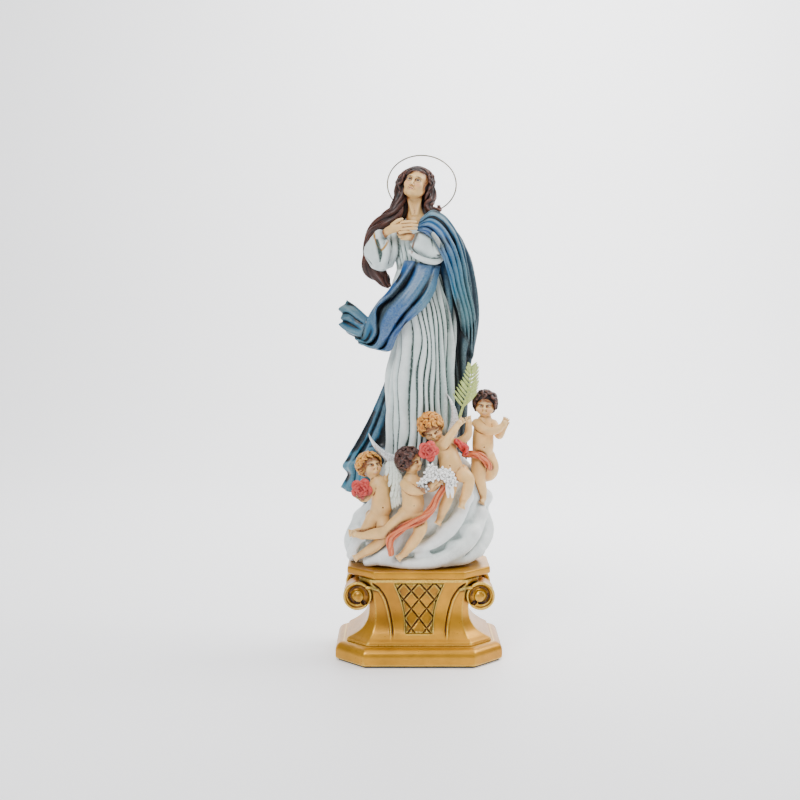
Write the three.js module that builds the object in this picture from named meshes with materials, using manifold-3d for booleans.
// A devotional statue: a robed woman on a cloud with four cherubs, on a scrolled octagonal pedestal.
// Millimetres, +Z up. The origin is the centre of the pedestal's underside, and the front faces -Y.
// "Left" and "right" in cherub and pedestal names are as seen from the front; the woman's own
// hands, sleeves and hair are named from her side.

import * as THREE from 'three';
import { mergeVertices } from 'three/addons/utils/BufferGeometryUtils.js';
import Module from 'manifold-3d';

const wasm = await Module();
wasm.setup();

// ---- driving dimensions -------------------------------------------------------------------

const GAP = 0.35; // clearance between pieces that touch
const CLEAN = 0.05; // corners and slivers smaller than this are merged
const BALL_SIDES = 10;
const LIMB_SIDES = 6;
const LIMB_END = 0.35; // how far out a limb's round end has its one ring of corners, in radii
const TIP = 0.75; // how far a tube's pointed end reaches past its last centre, in radii
const DRAPE_SIDES = 20;
const DRUM_SIDES = 20;
const POST_SIDES = 12;

const FELT = { top: 1.5, inset: 3 };
const PLINTH = { halfX: 82, halfY: 63, chamfer: 28, bottom: 1.8, top: 18.8 };
const LEDGE = { halfX: 71, halfY: 52, chamfer: 21 };
const PLATE = { halfX: 70.5, halfY: 51, chamfer: 26.5, bottom: 82.5, top: 91.5 };
const BODY = { bottom: 19.1, top: 82.2, deck: 10 };
const VOLUTE = { x: 60, z: 65.5, radius: 14, front: 41, depth: 22, rim: 3.4, recess: 2.2, boss: 5.2 };
const PANEL = { topHalf: 24, bottomHalf: 13, top: 78, bottom: 29, sag: 3, recess: 3, thickness: 2.1 };
const SCREW = { radius: 3, headRadius: 6, headHeight: 3.5, seat: 70, top: 112 };
const WASHER = { radius: 9, thickness: 1.5 };
const SHAFT = { half: 20, reach: 5 };

const FIGURE_FOOT = PLATE.top + GAP;
const HALO = {
  centre: [3.6, 36, 470.2],
  radius: 34.8,
  wire: 0.7,
  lean: THREE.MathUtils.degToRad(27.7),
  stem: 14,
  steps: 32,
};
const MOON = { centre: [-5.7, 231], radius: 45, width: 14, thickness: 6, back: -10, lean: 117, opening: 72 };

const PAINT = {
  felt: [0x2b2420, 0.95, 0],
  gold: [0xb98c32, 0.42, 0.35],
  steel: [0xb4b8bc, 0.35, 0.9],
  cloud: [0xdfe3e2, 0.6, 0],
  gown: [0xd3dcd8, 0.55, 0],
  mantle: [0x4878a0, 0.5, 0],
  skin: [0xdcc79c, 0.5, 0],
  brownHair: [0x4a3430, 0.5, 0],
  blondHair: [0xc88c3c, 0.5, 0],
  silver: [0xd9dade, 0.3, 0.4],
  brass: [0xc9a24e, 0.3, 0.9],
  palm: [0xa5af6e, 0.55, 0],
  rose: [0xd7645f, 0.5, 0],
  lily: [0xf0eee6, 0.5, 0],
  peach: [0xd78c69, 0.55, 0],
};

// ---- from three.js geometry to solids and back ----------------------------------------------

function enclosedVolume(position, index) {
  let volume = 0;
  const a = new THREE.Vector3();
  const b = new THREE.Vector3();
  const c = new THREE.Vector3();
  for (let i = 0; i < index.length; i += 3) {
    a.fromBufferAttribute(position, index[i]);
    b.fromBufferAttribute(position, index[i + 1]);
    c.fromBufferAttribute(position, index[i + 2]);
    volume += a.dot(b.cross(c)) / 6;
  }
  return volume;
}

function toSolid(geometry) {
  geometry.deleteAttribute('normal');
  geometry.deleteAttribute('uv');
  const merged = mergeVertices(geometry, 1e-4);
  const position = merged.getAttribute('position');
  const source = merged.index.array;
  const index = [];
  for (let i = 0; i < source.length; i += 3) {
    const [p, q, r] = [source[i], source[i + 1], source[i + 2]];
    if (p !== q && q !== r && r !== p) index.push(p, q, r);
  }
  if (enclosedVolume(position, index) < 0) index.reverse();
  const mesh = new wasm.Mesh({
    numProp: 3,
    vertProperties: Float32Array.from(position.array),
    triVerts: Uint32Array.from(index),
  });
  return new wasm.Manifold(mesh);
}

function toMesh(name, solid, paint) {
  const { vertProperties, triVerts } = solid.getMesh();
  const geometry = new THREE.BufferGeometry();
  geometry.setAttribute('position', new THREE.BufferAttribute(vertProperties, 3));
  geometry.setIndex(new THREE.BufferAttribute(triVerts, 1));
  geometry.computeVertexNormals();
  const [color, roughness, metalness] = PAINT[paint];
  const mesh = new THREE.Mesh(geometry, new THREE.MeshStandardMaterial({ color, roughness, metalness }));
  mesh.name = name;
  return mesh;
}

function largestPiece(solid) {
  const pieces = solid.decompose();
  return pieces.reduce((best, piece) => (piece.volume() > best.volume() ? piece : best));
}

// Merges the corners and slivers that joining and cutting leave closer together than a tolerance.
const cleaned = (solid) => solid.simplify(CLEAN);

// ---- shapes ------------------------------------------------------------------------------------
// A shape is a function of a gap. It returns its solid grown by that gap all round, so that one
// description makes both the piece and the room that its neighbours leave for it.

const join = (...shapes) => (gap) => shapes.map((shape) => shape(gap)).reduce((a, b) => a.add(b));
const cut = (shape, ...tools) => (gap) =>
  tools.reduce((rest, tool) => rest.subtract(tool(-gap)), shape(gap));

// An ellipsoid.
const ball = (x, y, z, radius, stretch = [1, 1, 1]) => (gap) => {
  const geometry = new THREE.SphereGeometry(radius + gap, BALL_SIDES, BALL_SIDES - 3);
  geometry.rotateX(Math.PI / 2).scale(...stretch).translate(x, y, z);
  return toSolid(geometry);
};

// A round-ended tapered limb from one centre to another. Centres are [x, y, z, radius].
const limb = (from, to) => (gap) => {
  const start = new THREE.Vector3(...from);
  const end = new THREE.Vector3(...to);
  const length = start.distanceTo(end);
  const [startRadius, endRadius] = [from[3] + gap, to[3] + gap];
  const profile = [
    new THREE.Vector2(0, -startRadius),
    new THREE.Vector2(startRadius, -startRadius * LIMB_END),
    new THREE.Vector2(endRadius, length + endRadius * LIMB_END),
    new THREE.Vector2(0, length + endRadius),
  ];
  const turn = new THREE.Quaternion().setFromUnitVectors(
    new THREE.Vector3(0, 1, 0),
    end.clone().sub(start).normalize(),
  );
  const geometry = new THREE.LatheGeometry(profile, LIMB_SIDES);
  geometry.applyQuaternion(turn).translate(start.x, start.y, start.z);
  return toSolid(geometry);
};

// Limbs joined end to end, for a sharp bend.
const limbs = (...centres) => join(...centres.slice(1).map((centre, i) => limb(centres[i], centre)));

// One round tube through a list of centres, pointed at both ends, for a gentle bend.
const tube = (...centres) => (gap) => {
  const points = centres.map((centre) => new THREE.Vector3(...centre));
  const radii = centres.map((centre) => centre[3] + gap);
  const directions = points.map((point, i) => {
    const before = points[Math.max(i - 1, 0)];
    const after = points[Math.min(i + 1, points.length - 1)];
    return after.clone().sub(before).normalize();
  });
  const last = points.length - 1;
  const tips = [
    points[0].clone().addScaledVector(directions[0], -radii[0] * TIP),
    points[last].clone().addScaledVector(directions[last], radii[last] * TIP),
  ];
  const profile = [new THREE.Vector2(0, -1)];
  points.forEach((point, i) => profile.push(new THREE.Vector2(1, i)));
  profile.push(new THREE.Vector2(0, last + 1));
  const geometry = new THREE.LatheGeometry(profile, LIMB_SIDES);
  const position = geometry.getAttribute('position');
  const turn = new THREE.Quaternion();
  const axis = new THREE.Vector3(0, 1, 0);
  const turns = directions.map((direction) => {
    turn.premultiply(new THREE.Quaternion().setFromUnitVectors(axis, direction));
    axis.copy(direction);
    return turn.clone();
  });
  for (let i = 0; i < position.count; i += 1) {
    const row = Math.round(position.getY(i));
    const corner = new THREE.Vector3(position.getX(i), 0, position.getZ(i));
    if (row < 0) corner.copy(tips[0]);
    else if (row > last) corner.copy(tips[1]);
    else corner.multiplyScalar(radii[row]).applyQuaternion(turns[row]).add(points[row]);
    position.setXYZ(i, ...corner.toArray());
  }
  return toSolid(geometry);
};

// A vertical skin through horizontal ovals, each [z, centreX, centreY, radiusX, radiusY].
const drape = (...ovals) => (gap) => {
  const rows = ovals.map((oval) => [...oval]);
  rows[0][0] -= gap;
  rows.at(-1)[0] += gap;
  const profile = [new THREE.Vector2(0, 0)];
  rows.forEach((row, i) => profile.push(new THREE.Vector2(1, i)));
  profile.push(new THREE.Vector2(0, rows.length - 1));
  const geometry = new THREE.LatheGeometry(profile, DRAPE_SIDES);
  const position = geometry.getAttribute('position');
  for (let i = 0; i < position.count; i += 1) {
    const [z, centreX, centreY, radiusX, radiusY] = rows[Math.round(position.getY(i))];
    const x = centreX + position.getX(i) * (radiusX + gap);
    const y = centreY + position.getZ(i) * (radiusY + gap);
    position.setXYZ(i, x, y, z);
  }
  return toSolid(geometry);
};

// A box between two corners.
const block = (low, high) => (gap) => {
  const size = high.map((value, i) => value - low[i] + 2 * gap);
  const middle = high.map((value, i) => (value + low[i]) / 2);
  return toSolid(new THREE.BoxGeometry(...size).translate(...middle));
};

// An upright cylinder.
const post = (x, y, bottom, top, radius) => (gap) => {
  const height = top - bottom + 2 * gap;
  const geometry = new THREE.CylinderGeometry(radius + gap, radius + gap, height, POST_SIDES);
  return toSolid(geometry.rotateX(Math.PI / 2).translate(x, y, (top + bottom) / 2));
};

// ---- pedestal -----------------------------------------------------------------------------------

function octagonCorners(halfX, halfY, chamfer) {
  const frontX = halfX - chamfer;
  const sideY = halfY - chamfer;
  return [
    [frontX, -halfY], [halfX, -sideY], [halfX, sideY], [frontX, halfY],
    [-frontX, halfY], [-halfX, sideY], [-halfX, -sideY], [-frontX, -halfY],
  ];
}

// A skin through horizontal octagons, each [z, halfX, halfY, chamfer].
const octagons = (...levels) => (gap) => {
  const rows = levels.map(([z, halfX, halfY, chamfer]) => ({
    z,
    corners: octagonCorners(halfX + gap, halfY + gap, chamfer + gap * 0.6),
  }));
  rows[0].z -= Math.max(gap, 0);
  rows.at(-1).z += Math.max(gap, 0);
  const profile = [new THREE.Vector2(0, 0)];
  rows.forEach((row, i) => profile.push(new THREE.Vector2(1, i)));
  profile.push(new THREE.Vector2(0, rows.length - 1));
  const geometry = new THREE.LatheGeometry(profile, 8);
  const position = geometry.getAttribute('position');
  for (let i = 0; i < position.count; i += 1) {
    const { z, corners } = rows[Math.round(position.getY(i))];
    const radius = Math.hypot(position.getX(i), position.getZ(i));
    const angle = Math.atan2(position.getX(i), position.getZ(i));
    const side = ((Math.round(angle / (Math.PI / 4)) % 8) + 8) % 8;
    const [x, y] = radius > 0.5 ? corners[side] : [0, 0];
    position.setXYZ(i, x, y, z);
  }
  return toSolid(geometry);
};

const plinth = octagons(
  [PLINTH.bottom, PLINTH.halfX - 2.5, PLINTH.halfY - 2.5, PLINTH.chamfer - 1.5],
  [PLINTH.bottom + 3, PLINTH.halfX, PLINTH.halfY, PLINTH.chamfer],
  [PLINTH.bottom + 9, PLINTH.halfX - 0.6, PLINTH.halfY - 0.6, PLINTH.chamfer],
  [PLINTH.bottom + 13, PLINTH.halfX - 3.2, PLINTH.halfY - 3.2, PLINTH.chamfer - 2],
  [PLINTH.top, PLINTH.halfX - 8.5, PLINTH.halfY - 8.5, PLINTH.chamfer - 5],
);

const bodySkin = octagons(
  [BODY.bottom, LEDGE.halfX, LEDGE.halfY, LEDGE.chamfer],
  [BODY.bottom + 3, LEDGE.halfX, LEDGE.halfY, LEDGE.chamfer],
  [25.5, 64, 47.5, 16.5],
  [31, 56.5, 43, 11.5],
  [39, 51.2, 39.5, 8.5],
  [48, 49.2, 37.6, 7],
  [57, 49.4, 37.4, 6.5],
  [66, 51.5, 38.6, 7],
  [74, 55, 41, 9],
  [BODY.top, 59, 43.5, 12],
);

const bodyHollow = block(
  [-LEDGE.halfX / 2, -LEDGE.halfY / 2, BODY.bottom - 1],
  [LEDGE.halfX / 2, LEDGE.halfY / 2, BODY.top - BODY.deck],
);

// The shaft through the plinth by which the screw is reached, under the felt.
const shaft = block(
  [-SHAFT.half, -SHAFT.half, PLINTH.bottom - SHAFT.reach],
  [SHAFT.half, SHAFT.half, PLINTH.top + SHAFT.reach],
);

const topPlate = octagons(
  [PLATE.bottom, PLATE.halfX - 5.5, PLATE.halfY - 5.5, PLATE.chamfer - 3],
  [PLATE.bottom + 1.6, PLATE.halfX - 3.6, PLATE.halfY - 3.6, PLATE.chamfer - 2],
  [PLATE.bottom + 2.4, PLATE.halfX, PLATE.halfY, PLATE.chamfer],
  [PLATE.top - 1, PLATE.halfX, PLATE.halfY, PLATE.chamfer],
  [PLATE.top, PLATE.halfX - 1, PLATE.halfY - 1, PLATE.chamfer - 0.6],
);

// The trellis panel's outline, wider at the top, its sides bowed inward, as a prism on one side.
const panelPrism = (side) => (gap) => {
  const { topHalf, bottomHalf, top, bottom, sag } = PANEL;
  const middle = (top + bottom) / 2;
  const waist = (topHalf + bottomHalf) / 2 - sag;
  const outline = new THREE.Shape();
  outline.moveTo(-topHalf - gap, top + gap);
  outline.quadraticCurveTo(-waist - gap, middle, -bottomHalf - gap, bottom - gap);
  outline.lineTo(bottomHalf + gap, bottom - gap);
  outline.quadraticCurveTo(waist + gap, middle, topHalf + gap, top + gap);
  const geometry = new THREE.ExtrudeGeometry(outline, { depth: 40, bevelEnabled: false, curveSegments: 8 });
  geometry.rotateX(Math.PI / 2).translate(0, side > 0 ? 65 : -25, 0);
  return toSolid(geometry);
};

function panel(side) {
  const { recess, thickness } = PANEL;
  return panelPrism(side)(0)
    .intersect(bodySkin(thickness + GAP - recess))
    .subtract(bodySkin(GAP - recess));
}

function pedestalBody() {
  let solid = bodySkin(0).subtract(bodyHollow(0));
  for (const side of [-1, 1]) {
    solid = solid.subtract(panelPrism(side)(GAP).subtract(bodySkin(-PANEL.recess)));
  }
  return solid;
}

// A cylinder lying along Y.
const drum = (x, z, radius, fromY, toY) => (gap) => {
  const length = Math.abs(toY - fromY) + 2 * gap;
  const geometry = new THREE.CylinderGeometry(radius + gap, radius + gap, length, DRUM_SIDES);
  return toSolid(geometry.translate(x, (fromY + toY) / 2, z));
};

// A scroll bracket: a drum with a raised rim, a sunk field and a central boss on its outer face.
function volute(signX, signY) {
  const { x, z, radius, front, depth, rim, recess, boss } = VOLUTE;
  const centre = signX * x;
  const floor = front - recess;
  return join(
    cut(
      drum(centre, z, radius, signY * (front - depth), signY * front),
      drum(centre, z, radius - rim, signY * floor, signY * (front + 1)),
    ),
    drum(centre, z, boss, signY * (floor - 1), signY * front),
  );
}

const screw = join(
  post(0, 0, SCREW.seat - SCREW.headHeight, SCREW.seat, SCREW.headRadius),
  post(0, 0, SCREW.seat - 1, SCREW.top, SCREW.radius),
);

const washer = cut(
  post(0, 0, SCREW.seat + GAP, SCREW.seat + GAP + WASHER.thickness, WASHER.radius),
  post(0, 0, SCREW.seat - 1, SCREW.top, SCREW.radius + GAP),
);

const pedestalPieces = [
  ['fixing_screw', 'steel', screw],
  ['fixing_washer', 'steel', washer],
  ['volute_front_left', 'gold', volute(-1, -1)],
  ['volute_front_right', 'gold', volute(1, -1)],
  ['volute_back_left', 'gold', volute(-1, 1)],
  ['volute_back_right', 'gold', volute(1, 1)],
  ['lattice_panel_front', 'gold', () => panel(-1)],
  ['lattice_panel_back', 'gold', () => panel(1)],
  ['felt_pad', 'felt', octagons(
    [0, PLINTH.halfX - FELT.inset, PLINTH.halfY - FELT.inset, PLINTH.chamfer],
    [FELT.top, PLINTH.halfX - FELT.inset, PLINTH.halfY - FELT.inset, PLINTH.chamfer],
  )],
  ['pedestal_plinth', 'gold', cut(plinth, shaft)],
  ['pedestal_body', 'gold', pedestalBody],
  ['pedestal_top_plate', 'gold', topPlate],
];

// ---- halo ---------------------------------------------------------------------------------------

const haloUp = new THREE.Vector3(0, Math.sin(HALO.lean), Math.cos(HALO.lean));
const haloCentre = new THREE.Vector3(...HALO.centre);

const haloRing = (gap) => {
  const geometry = new THREE.TorusGeometry(HALO.radius, HALO.wire + gap, 6, HALO.steps);
  return toSolid(geometry.rotateX(Math.PI / 2 - HALO.lean).translate(...HALO.centre));
};

const haloStem = (gap) => {
  const top = haloCentre.clone().addScaledVector(haloUp, GAP + HALO.wire - HALO.radius);
  const bottom = top.clone().addScaledVector(haloUp, -HALO.stem);
  const geometry = new THREE.CylinderGeometry(HALO.wire + gap, HALO.wire + gap, HALO.stem + 2 * gap, 8);
  const turn = new THREE.Quaternion().setFromUnitVectors(new THREE.Vector3(0, 1, 0), haloUp);
  const middle = top.add(bottom).multiplyScalar(0.5);
  return toSolid(geometry.applyQuaternion(turn).translate(...middle.toArray()));
};

// ---- the woman: head, hair, hands ------------------------------------------------------------------

const head = join(
  ball(-4.5, 0, 466, 15, [0.88, 1, 1.12]),
  tube([-4.5, 2, 454, 8], [-4, 3, 440, 7.5], [-3, 3, 432, 8.5]),
);

const hairCrown = join(
  ball(-4, 5.5, 467.5, 17.5, [1.04, 0.92, 0.94]),
  tube([-3, 7, 458, 11], [0, 8, 444, 9.5], [2, 9, 430, 8.5]),
);

const hairRight = tube(
  [-19.5, 2, 462, 5.5], [-20, 0, 447, 6], [-27, -4, 434, 6.5], [-39, 0, 427, 7],
  [-47, 5, 414, 7.5], [-48, 8, 396, 7.5], [-41, 7, 380, 7], [-30, 3, 369, 4],
);

const hairLeft = tube([11.5, 3, 463, 5.5], [11, 2, 450, 5.5], [11.5, 1, 443, 5], [18.5, 3, 441, 3.6]);

const handRight = tube([-33, -18, 418.5, 5], [-19, -23, 424, 5.6], [-6, -26, 423.5, 4]);

const handLeft = tube([-7, -23, 407.5, 5], [-15, -22, 412.5, 4.6], [-22, -19, 415, 3.6]);

// ---- the woman: gown and mantle ----------------------------------------------------------------------

const sleeveRight = limbs([-25, 5, 423, 9], [-38, -4, 399, 12.5], [-36, -14, 411, 7.5]);

const sleeveLeft = limbs([25, 2, 422, 9], [14, -11, 401, 14], [-1, -17, 404, 9.5]);

const bodice = drape(
  [388, -2, 2, 19, 14], [404, -4, 2, 22, 15], [418, -4, 3, 24, 13], [428, -3, 4, 17, 10], [435, -3, 4, 11, 8],
);

const gownSkirt = drape(
  [178, 0, 3, 31, 21], [212, 2, 3, 33, 23], [243, 2, 3, 34, 23], [276, 3, 3, 33, 22],
  [313, 6, 3, 30, 21], [340, 3, 3, 30, 20], [366, -2, 2, 26, 18], [387.4, -2, 2, 19, 14],
);

const mantleShoulder = join(
  tube(
    [3, -19, 424, 5.5], [16, -8, 432, 7.5], [27, 2, 427, 9.5], [37, 4, 406, 10.5],
    [43, 4, 376, 11], [45, 3, 345, 9], [42, 0, 320, 6],
  ),
  tube([10, -16, 422, 5], [27, -11, 404, 7], [33, -9, 380, 7], [36, -7, 352, 5.5]),
);

const mantleSwag = join(
  tube([-12, -15, 386, 6], [-20, -18, 362, 8], [-34, -17, 346, 8], [-42, -15, 330, 8], [-46, -12, 317, 8]),
  tube([2, -15, 388, 7], [-9, -20, 364, 8], [-21, -20, 346, 8], [-32, -17, 328, 8], [-42, -12, 315, 8]),
  tube([14, -14, 386, 7], [3, -21, 366, 8], [-8, -22, 346, 8], [-22, -19, 326, 7], [-38, -12, 312, 7]),
);

const mantleFlyingEnd = tube(
  [-50, -9, 324, 8], [-59, -6, 328, 10], [-67, -4, 336, 10.5], [-72, -3, 343, 7.5],
);

const mantleBack = cut(
  drape(
    [165, 8, 22, 42, 13], [210, 10, 21, 40, 15], [250, 14, 20, 37, 17], [290, 17, 18, 35.5, 19],
    [330, 19, 17, 38, 19], [360, 18, 16, 37, 18], [400, 14, 14, 37, 16],
    [425, 8, 14, 31, 12], [436, 6, 13, 16, 7],
  ),
  block([-80, -60, 150], [90, -4, 460]),
);

const mantleTrain = drape(
  [146, -50, 20, 12, 4], [154, -56, 21, 15, 5], [163, -56, 23, 21, 6], [176, -50, 24, 20, 6],
  [188, -51, 24, 23, 6], [215, -46, 23, 15, 6], [245, -38, 22, 11, 5], [276, -29, 21, 5, 4],
);

// A crescent standing on edge: between an outer circle and an inner one through the same two tips.
const crescent = (gap) => {
  const { centre, radius, width, thickness, back } = MOON;
  const lean = THREE.MathUtils.degToRad(MOON.lean);
  const opening = THREE.MathUtils.degToRad(MOON.opening);
  const tipAlong = radius * Math.cos(opening);
  const inset = radius - width;
  const shift = (radius ** 2 - inset ** 2) / (2 * (tipAlong + inset));
  const innerRadius = inset + shift;
  const tipAngle = Math.atan2(radius * Math.sin(opening), tipAlong - shift);
  const outline = new THREE.Shape();
  outline.absarc(0, 0, radius + gap, opening, 2 * Math.PI - opening, false);
  outline.absarc(shift, 0, innerRadius - gap, 2 * Math.PI - tipAngle, tipAngle, true);
  const depth = thickness + 2 * gap;
  const geometry = new THREE.ExtrudeGeometry(outline, { depth, bevelEnabled: false, curveSegments: 14 });
  geometry.rotateZ(lean).rotateX(Math.PI / 2).translate(centre[0], back + gap, centre[1]);
  return toSolid(geometry);
};

const womanPieces = [
  ['hand_right', 'skin', handRight],
  ['hand_left', 'skin', handLeft],
  ['head', 'skin', head],
  ['hair_left', 'brownHair', hairLeft],
  ['hair_right', 'brownHair', hairRight],
  ['hair_crown', 'brownHair', hairCrown],
  ['sleeve_right', 'gown', sleeveRight],
  ['sleeve_left', 'gown', sleeveLeft],
  ['mantle_shoulder', 'mantle', mantleShoulder],
  ['mantle_swag', 'mantle', mantleSwag],
  ['mantle_flying_end', 'mantle', mantleFlyingEnd],
];

// ---- cherubs --------------------------------------------------------------------------------------

const LIMBS = {
  head: 11.5,
  curls: 13,
  neck: 5,
  chest: 10.4,
  belly: 12,
  hip: 11,
  arm: [5.4, 4.8, 4],
  leg: [8, 6.4, 4.4],
};

const sized = (points, radii) => points.map((point, i) => [...point, radii[i]]);

// A cherub from the places of its head, trunk (neck, chest, belly, hip), arms and legs.
const cherub = ({ head: skull, trunk, arms, legs }) => join(
  ball(...skull, LIMBS.head),
  tube(...sized(trunk, [LIMBS.neck, LIMBS.chest, LIMBS.belly, LIMBS.hip])),
  ...arms.map((points) => tube(...sized(points, LIMBS.arm))),
  ...legs.map((points) => tube(...sized(points, LIMBS.leg))),
);

// Curls cover the head away from its face: a larger ball, pushed back by a few millimetres.
const curls = ({ head: [x, y, z], away: [dx, dy, dz] }) => ball(x + dx, y + dy, z + dz, LIMBS.curls);

const CHERUBS = {
  front: {
    head: [-9, -40, 197],
    away: [-4, 3, 3],
    trunk: [[-7, -39, 185], [-8, -39, 172], [-6, -41, 156], [-8, -39, 146]],
    arms: [
      [[-13, -46, 175], [1, -53, 172], [15, -53, 181]],
      [[1, -38, 176], [10, -44, 172], [18, -50, 178]],
    ],
    legs: [
      [[-13, -42, 144], [-31, -47, 130], [-58, -37, 124]],
      [[-1, -43, 142], [-1, -47, 129], [-16, -40, 108]],
    ],
  },
  left: {
    head: [-48, -24, 190],
    away: [-3, 2, 4],
    trunk: [[-42, -25, 180], [-37, -27, 169], [-37, -27, 152], [-40, -26, 141]],
    arms: [
      [[-33, -24, 178], [-28, -16, 184], [-24, -10, 190]],
      [[-43, -30, 172], [-48, -36, 164], [-54, -37, 158]],
    ],
    legs: [
      [[-36, -32, 136], [-36, -37, 119], [-56, -31, 104]],
      [[-45, -30, 137], [-50, -33, 128], [-60, -29, 127]],
    ],
  },
  upper: {
    head: [12, -32, 229],
    away: [-1, 3, 4],
    trunk: [[17, -30, 218], [27, -29, 206], [31, -31, 193], [35, -28, 185]],
    arms: [
      [[23, -35, 213], [27, -39, 219], [38, -31, 233]],
      [[34, -24, 212], [47, -21, 219], [49, -19, 235]],
    ],
    legs: [
      [[37, -32, 182], [48, -40, 181], [42, -37, 158]],
      [[29, -35, 181], [29, -43, 168], [20, -39, 142]],
    ],
  },
  right: {
    head: [66, -4, 249],
    away: [1, 3, 3],
    trunk: [[67, -2, 236], [65.5, -1, 223], [65, -3, 207], [65, -1, 197]],
    arms: [
      [[58, -6, 230], [68, -17, 225], [84, -19, 232]],
      [[75, -2, 229], [79, -8, 219], [85, -12, 230]],
    ],
    legs: [
      [[61, -2, 192], [61.5, -8, 172], [64, -5, 154]],
      [[70, -1, 192], [72.5, -4, 178], [70.5, 0, 153]],
    ],
  },
};

const cherubPieces = Object.entries(CHERUBS).flatMap(([side, pose]) => [
  [`cherub_${side}_body`, 'skin', cherub(pose)],
  [`cherub_${side}_hair`, side === 'left' || side === 'upper' ? 'blondHair' : 'brownHair', curls(pose)],
]);

// ---- what the cherubs hold and wear ------------------------------------------------------------------

const palmBranch = tube([42, -13, 238, 2], [46, -10, 256, 7], [50, -8, 272, 8.5], [53, -7, 284, 6]);

const lilyBouquet = tube([2, -56, 178, 5], [12, -57, 186, 6.5], [24, -55, 187, 7], [31, -52, 181, 5.5]);

const sashPeach = tube(
  [20, -50, 172, 3.5], [15, -52, 158, 4], [5, -54, 146, 4], [-12, -53, 137, 4.5], [-28, -53, 126, 5],
  [-28, -47, 111, 4],
);

const loincloth = tube([52, -8, 203, 3], [60, -12, 200, 4], [70, -12, 195, 4], [76, -4, 191, 3]);

const redDrape = tube([36, -35, 216, 3.5], [42, -33, 211, 4.5], [44, -30, 205, 3.5]);

const wing = tube([-27, -27, 191, 3], [-23, -30, 181, 5.5], [-21, -32, 167, 5.5], [-19, -33, 156, 4]);

const trimmings = [
  ['lily_bouquet', 'lily', lilyBouquet],
  ['sash_peach', 'peach', sashPeach],
  ['loincloth', 'peach', loincloth],
  ['red_drape', 'rose', redDrape],
  ['rose_left', 'rose', ball(-55.5, -33, 170, 10.5, [1, 0.5, 1])],
  ['rose_centre', 'rose', ball(8.5, -44, 208, 10, [1, 0.5, 1])],
  ['palm_branch', 'palm', palmBranch],
];

const backdrop = [
  ['cherub_wing', 'lily', wing],
  ['crescent_moon', 'silver', crescent],
  ['bodice', 'gown', bodice],
  ['mantle_train', 'mantle', mantleTrain],
  ['gown_skirt', 'gown', gownSkirt],
  ['mantle_back', 'mantle', mantleBack],
  ['cloud_base', 'cloud', drape(
    [FIGURE_FOOT, -4, 2, 62, 35], [104, -3, 1, 66, 38], [120, 0, 0, 69, 40], [138, 6, 0, 68, 38],
    [150, 10, 2, 62, 35], [170, 10, 4, 56, 32], [188, 8, 6, 48, 27], [202, 6, 8, 38, 20],
  )],
];

// ---- assembly -----------------------------------------------------------------------------------------
// Pieces are placed in order. Each one gives way, with a gap, to those already placed.

const statue = new THREE.Group();
const placed = [];

function overlaps(a, b) {
  return a.min.every((low, i) => low < b.max[i] && b.min[i] < a.max[i]);
}

function place([name, paint, shape]) {
  let solid = shape(0);
  for (const room of placed) {
    if (overlaps(solid.boundingBox(), room.boundingBox())) solid = solid.subtract(room);
  }
  statue.add(toMesh(name, largestPiece(cleaned(solid)), paint));
  placed.push(shape(GAP));
}

[
  ['halo_ring', 'brass', haloRing],
  ['halo_stem', 'brass', haloStem],
  ...womanPieces,
  ...trimmings,
  ...cherubPieces,
  ...pedestalPieces,
  ...backdrop,
].forEach(place);

export default statue;
